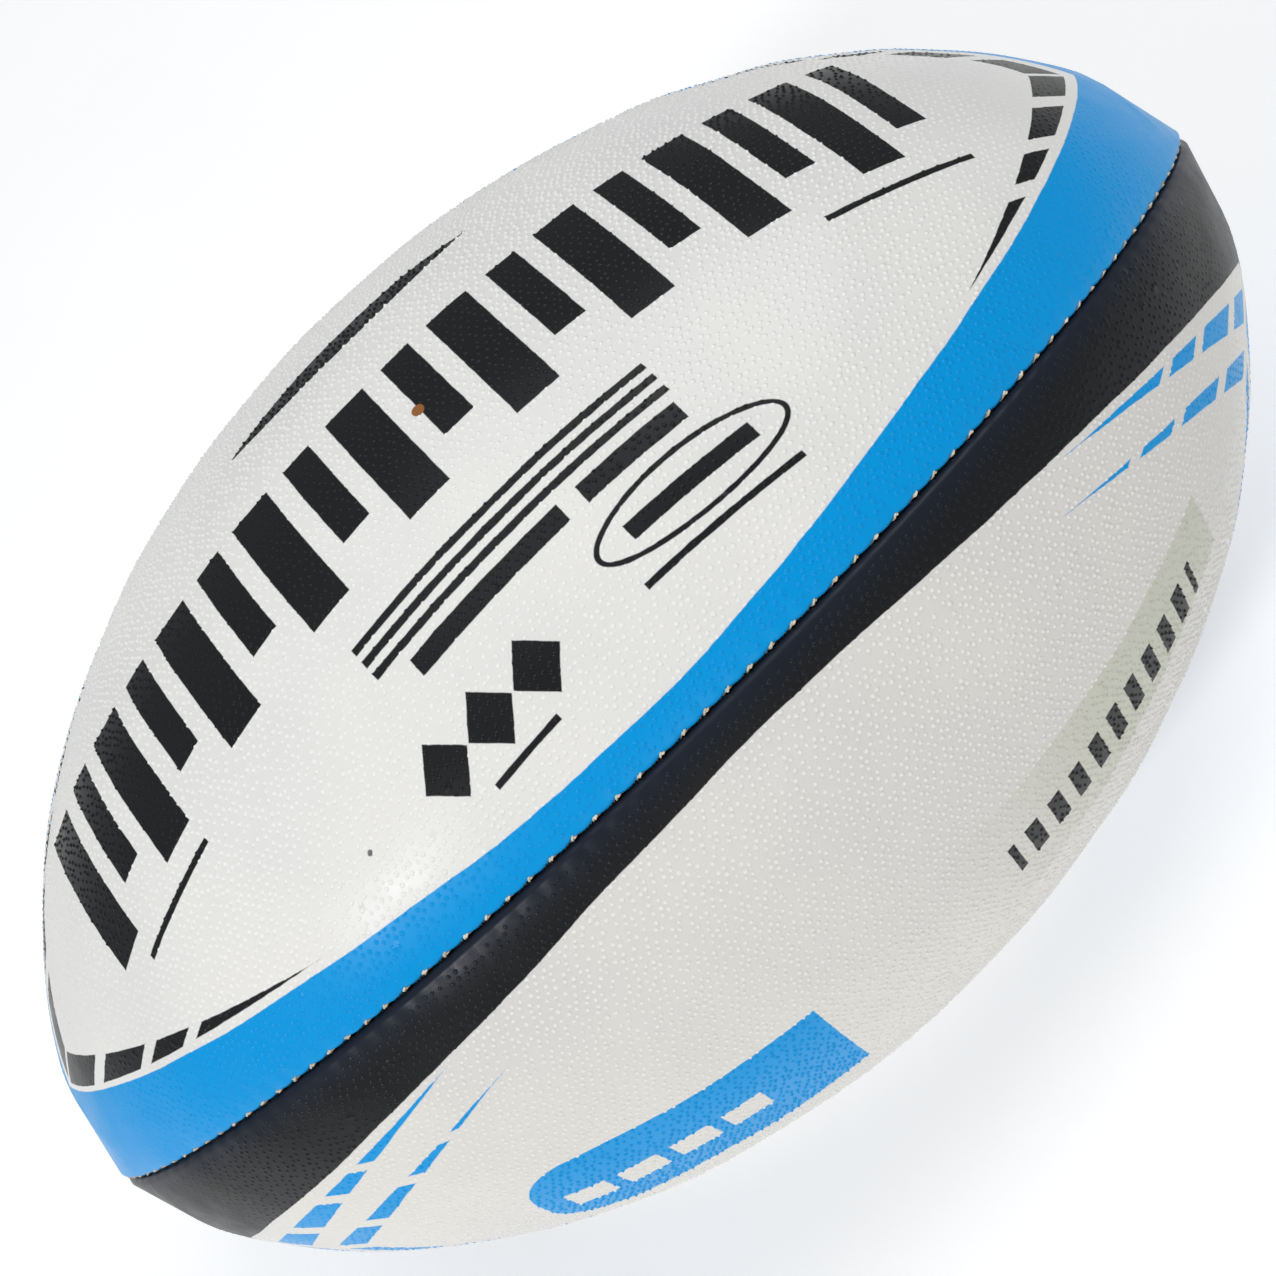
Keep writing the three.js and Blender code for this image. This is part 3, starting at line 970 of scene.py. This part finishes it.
def banner(arc, across):
    """A blue stripe with one round end and a row of white bars in it."""
    outside = (-(arc - BANNER_CENTRE[0])).most(0)
    beside = (abs(across - BANNER_CENTRE[1]) - BANNER_STRAIGHT_HALF_WIDTH).most(0)
    round_ended = -(outside.power(2) + beside.power(2)).power(0.5) + BANNER_ROUNDING
    stripe = round_ended.least(-arc + BANNER_RIGHT_END)
    bars = (arc + 56).wrapped(BANNER_BAR_PERIOD).between(-BANNER_BAR_HALF_WIDTH, BANNER_BAR_HALF_WIDTH)
    bars = bars.least(across.between(*BANNER_BAR_ACROSS)).least(arc.between(*BANNER_BAR_ARCS))
    return stripe.least(-bars)


def tint(arc, across):
    """A faint pale beam beside the short row of bars, wider towards the middle of the ball."""
    near_side = across + 15 - (arc - 91) * 0.05
    far_side = -across + 0.5 - (arc - 91) * 0.17
    return arc.between(6, 91).least(near_side).least(far_side)


def small_mark(arc, across, middle, radius):
    """A round spot."""
    return -((arc - middle[0]).power(2) + (across - middle[1]).power(2)).power(0.5) + radius


def blue_border_field(paint, arc, across, rubber, share):
    """Inside a blue border: the outline of the white field, and the field's colour."""
    half_width = paint.ramp(arc, -40, 40, *BLUE_FIELD_HALF_WIDTHS)
    end = paint.ramp(arc, -1, 1, *BLUE_FIELD_ENDS)
    outline = curve(arc, half_width, end) - abs(across + BLUE_FIELD_SHIFT)
    right = dashes(arc, across, *RIGHT_DASHES).least(arc)
    left = dashes(arc, across, *LEFT_DASHES).least(-arc)
    black = right.most(left).most(blue_border_graphics(arc, across))
    inked = paint.mixed(rubber, BLACK_INK, share(black))
    spotted = paint.mixed(inked, BROWN_MARK, share(small_mark(arc, across, *BROWN_SPOT)))
    return outline, paint.mixed(spotted, GREY_MARK, share(small_mark(arc, across, *GREY_SPOT)))


def black_border_field(paint, arc, across, rubber, share):
    """Inside a black border: the outline of the white field, and the field's colour."""
    outline = field(arc, across, *BLACK_FIELD)
    rows = dashes(arc, across, *OUTER_DASHES).most(dashes(arc, across, *INNER_DASHES))
    blue = rows.most(banner(arc, across))
    tint_share = share(tint(arc, across)) * paint.ramp(arc, 8, 50)
    blued = paint.mixed(paint.mixed(rubber, PALE_TINT, tint_share), BLUE_INK, share(blue))
    return outline, paint.mixed(blued, BLACK_INK, share(black_border_graphics(arc, across)))


def print_material(name, border):
    """White rubber with stains, a painted highlight on each dot's crown, a painted navy sheen by the
    seam on a black border, and the print of one kind of panel.
    """
    paint = Paint(name, Specular_IOR_Level=0.15)
    arc, across, offset = paint.sheet()
    ragged = (paint.noise(3.0, detail=3.0) - 0.5) * PRINT_RAGGEDNESS
    drift = (paint.noise(28.0, detail=1.0) - 0.5) * BORDER_DRIFT

    def share(shape):
        """How much of a place the ink of a shape covers."""
        return paint.ramp(shape + ragged, -PRINT_SOFTNESS, PRINT_SOFTNESS)

    stain = paint.ramp(paint.noise(35.0, detail=3.0), 0.35, 0.75)
    # Painted highlight: the crown attribute lightens the top of each dot.
    crown = Value(paint.tree, paint.node("ShaderNodeAttribute", attribute_name="crown").outputs["Fac"])
    stained = paint.mixed(*RUBBER_SHADES[border], stain)
    rubber = paint.mixed(stained, CROWN_HIGHLIGHTS[border], crown * CROWN_HIGHLIGHT_STRENGTH)
    if border == "blue":
        outline, field_colour = blue_border_field(paint, arc, across, rubber, share)
        border_colour = BLUE_INK
    else:
        outline, field_colour = black_border_field(paint, arc, across, rubber, share)
        # Painted reflection: navy by the seam, fading to black ink further in.
        border_colour = paint.mixed(NAVY_SHEEN, BLACK_INK, paint.ramp(offset, *NAVY_SHEEN_WIDTHS))
    on_field = share(outline + drift)
    paint.colour(paint.mixed(border_colour, field_colour, on_field))
    mottle = paint.noise(6.0, detail=4.0)
    gloss = paint.ramp(mottle, 0.3, 0.7, *RUBBER_ROUGHNESS)
    ink_gloss = paint.ramp(mottle, 0.3, 0.7, *INK_ROUGHNESS)
    paint.roughness(ink_gloss + (gloss - ink_gloss) * on_field)
    paint.bump(paint.noise(0.35, detail=3.0), 0.02, 0.6)
    return paint.material


# ---------------------------------------------------------------- other materials

# Radians that a wave node turns through in one unit, at a scale of 1.
WAVE_NODE_RATE = 20
FLOOR_GLOW = 0.26


def thread_material():
    """Waxed cream thread with darker patches."""
    paint = Paint("waxed_thread", Specular_IOR_Level=0.4, Sheen_Weight=0.2)
    shade = paint.noise(1.2, detail=3.0)
    dark_share = paint.ramp(shade, 0.35, 0.7)
    paint.colour(paint.mixed(colour_of(242, 234, 214), colour_of(196, 182, 152), dark_share))
    paint.roughness(paint.ramp(shade, 0, 1, 0.45, 0.65))
    paint.bump(paint.noise(0.12), 0.04)
    return paint.material


def cloth_material(name, light, dark, grain_mm):
    """Plain weave from two crossed waves, with slubs. The waves repeat every tau grains."""
    paint = Paint(name, Specular_IOR_Level=0.2, Sheen_Weight=0.25)
    waves = []
    for direction in ("X", "Z"):
        wave = paint.node("ShaderNodeTexWave", wave_type="BANDS", bands_direction=direction)
        paint.link(paint.coordinates(), wave.inputs["Vector"])
        wave.inputs["Scale"].default_value = 1 / (grain_mm * MM) / WAVE_NODE_RATE
        wave.inputs["Distortion"].default_value = 0.6
        wave.inputs["Detail"].default_value = 1.5
        waves.append(Value(paint.tree, wave.outputs["Fac"]))
    weave = waves[0].most(waves[1])
    shade = weave * 0.6 + paint.noise(9.0, detail=3.0) * 0.4
    paint.colour(paint.mixed(dark, light, shade))
    paint.roughness(paint.ramp(shade, 0, 1, 0.95, 0.8))
    paint.bump(weave, 0.12)
    return paint.material


def rubber_material(name, light, dark, least_roughness, most_roughness, grain_mm):
    """Plain moulded rubber with cloudy patches and a fine grain."""
    paint = Paint(name, Specular_IOR_Level=0.4)
    shade = paint.noise(grain_mm, detail=4.0, roughness=0.6)
    paint.colour(paint.mixed(dark, light, paint.ramp(shade, 0.3, 0.75)))
    paint.roughness(paint.ramp(shade, 0.3, 0.7, least_roughness, most_roughness))
    paint.bump(paint.noise(grain_mm / 8), 0.03)
    return paint.material


def floor_material():
    """A white studio floor with a faint glow of its own."""
    paint = Paint("pale_floor", Specular_IOR_Level=0.1, Emission_Strength=FLOOR_GLOW)
    paint.shader.inputs["Emission Color"].default_value = colour_of(255, 255, 255)
    shade = paint.noise(60.0, detail=4.0)
    paint.colour(paint.mixed(colour_of(250, 250, 250), colour_of(246, 246, 246), shade))
    paint.roughness(paint.ramp(shade, 0, 1, 0.8, 0.9))
    return paint.material


def dress(node, material):
    """Gives a CAD node its material."""
    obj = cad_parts[node]
    obj.data.materials.clear()
    obj.data.materials.append(material)


# ---------------------------------------------------------------- stage

# Metres, watts and radians.
CAMERA_DISTANCE = 0.384
CAMERA_ELEVATION = math.radians(53.7)
CAMERA_ROLL = math.radians(44.67)
CAMERA_LENS = 52.67
CAMERA_SHIFT = (-0.0063, 0.0093)
FLOOR_HALF_SIZE = 3.0
WORLD_COLOUR = (0.94, 0.97, 1.0, 1)
WORLD_STRENGTH = 0.29

# Name, place, diameter, power and colour of each light. All of them face the ball.
LIGHTS = [
    ("key", Vector((-0.66, -0.45, 0.60)) * 1.5, 0.22, 7.6, (1, 1, 1)),
    ("overhead", Vector((0.1, 0.2, 1.6)), 1.4, 6.6, (1, 1, 1)),
    ("fill", Vector((0.55, 0.10, 0.83)) * 1.5, 0.8, 5.3, (1, 1, 1)),
    ("low_warm", Vector((-0.06, -0.96, 0.27)) * 1.3, 0.3, 1.3, (1.0, 0.90, 0.78)),
]


def add_camera():
    """The camera, facing the ball's centre from in front and above, and rolled."""
    camera = bpy.data.cameras.new("camera")
    camera.lens = CAMERA_LENS
    camera.shift_x, camera.shift_y = CAMERA_SHIFT
    camera.clip_start = 0.01
    back = Vector((0, -math.cos(CAMERA_ELEVATION), math.sin(CAMERA_ELEVATION)))
    raised = Vector((0, math.sin(CAMERA_ELEVATION), math.cos(CAMERA_ELEVATION)))
    level = Vector((1, 0, 0))
    right = level * math.cos(CAMERA_ROLL) - raised * math.sin(CAMERA_ROLL)
    up = level * math.sin(CAMERA_ROLL) + raised * math.cos(CAMERA_ROLL)
    obj = bpy.data.objects.new("camera", camera)
    facing = Matrix((right, up, back)).transposed().to_4x4()
    obj.matrix_world = Matrix.Translation(back * CAMERA_DISTANCE) @ facing
    bpy.context.scene.collection.objects.link(obj)
    bpy.context.scene.camera = obj


def add_light(name, position, diameter, power, colour):
    """A round area light that faces the ball."""
    light = bpy.data.lights.new(name, "AREA")
    light.shape = "DISK"
    light.size = diameter
    light.energy = power
    light.color = colour
    obj = bpy.data.objects.new(name, light)
    obj.location = position
    obj.rotation_mode = "QUATERNION"
    obj.rotation_quaternion = (-position).to_track_quat("-Z", "Y")
    bpy.context.scene.collection.objects.link(obj)


def add_floor():
    """A square floor under the ball's lowest point."""
    size = FLOOR_HALF_SIZE
    mesh = bpy.data.meshes.new("floor")
    corners = [(-size, -size), (size, -size), (size, size), (-size, size)]
    mesh.from_pydata([(x, y, cad_low.z) for x, y in corners], [], [(0, 1, 2, 3)])
    mesh.materials.append(floor_material())
    obj = bpy.data.objects.new("floor", mesh)
    bpy.context.scene.collection.objects.link(obj)


def add_world():
    """Even light from all round."""
    world = bpy.data.worlds.new("studio")
    world.use_nodes = True
    background = world.node_tree.nodes["Background"]
    background.inputs["Color"].default_value = WORLD_COLOUR
    background.inputs["Strength"].default_value = WORLD_STRENGTH
    bpy.context.scene.world = world


def build_stage():
    add_camera()
    add_world()
    add_floor()
    for light in LIGHTS:
        add_light(*light)
    bpy.context.scene.view_settings.view_transform = "Standard"


# ---------------------------------------------------------------- build

build_stage()
prints = {border: print_material(f"printed_rubber_{border}", border) for border in ("blue", "black")}
for index, name in enumerate(PANELS):
    make_panel(index, name, prints[PRINT_OF[name]])
thread = thread_material()
for index in range(len(PANELS)):
    make_thread(index, thread)

backing_cloth = cloth_material("backing_cloth", colour_of(226, 218, 200), colour_of(176, 166, 144), 0.55)
for layer in ("outer_ply", "middle_ply", "inner_ply"):
    for name in PANELS:
        dress(f"{layer}_{name}", backing_cloth)
patch_cloth = cloth_material("patch_cloth", colour_of(160, 148, 122), colour_of(112, 102, 80), 0.7)
dress("valve_reinforcing_patch", patch_cloth)
bladder_rubber = rubber_material("bladder_rubber", colour_of(62, 62, 66), colour_of(34, 34, 37),
                                 0.5, 0.75, 5.0)
dress("bladder", bladder_rubber)

valve_rubber = rubber_material("valve_rubber", colour_of(48, 49, 52), colour_of(24, 25, 27),
                               0.45, 0.65, 1.5)
core_rubber = rubber_material("core_rubber", colour_of(214, 196, 154), colour_of(186, 164, 118),
                              0.45, 0.65, 1.5)
make_valve_piece("valve_stem_and_flange", housing_outline(), True,
                 "valve_housing", "ball", valve_rubber)
make_valve_piece("valve_plug_core", core_outline(), False,
                 "valve_core", "valve_plug", core_rubber)
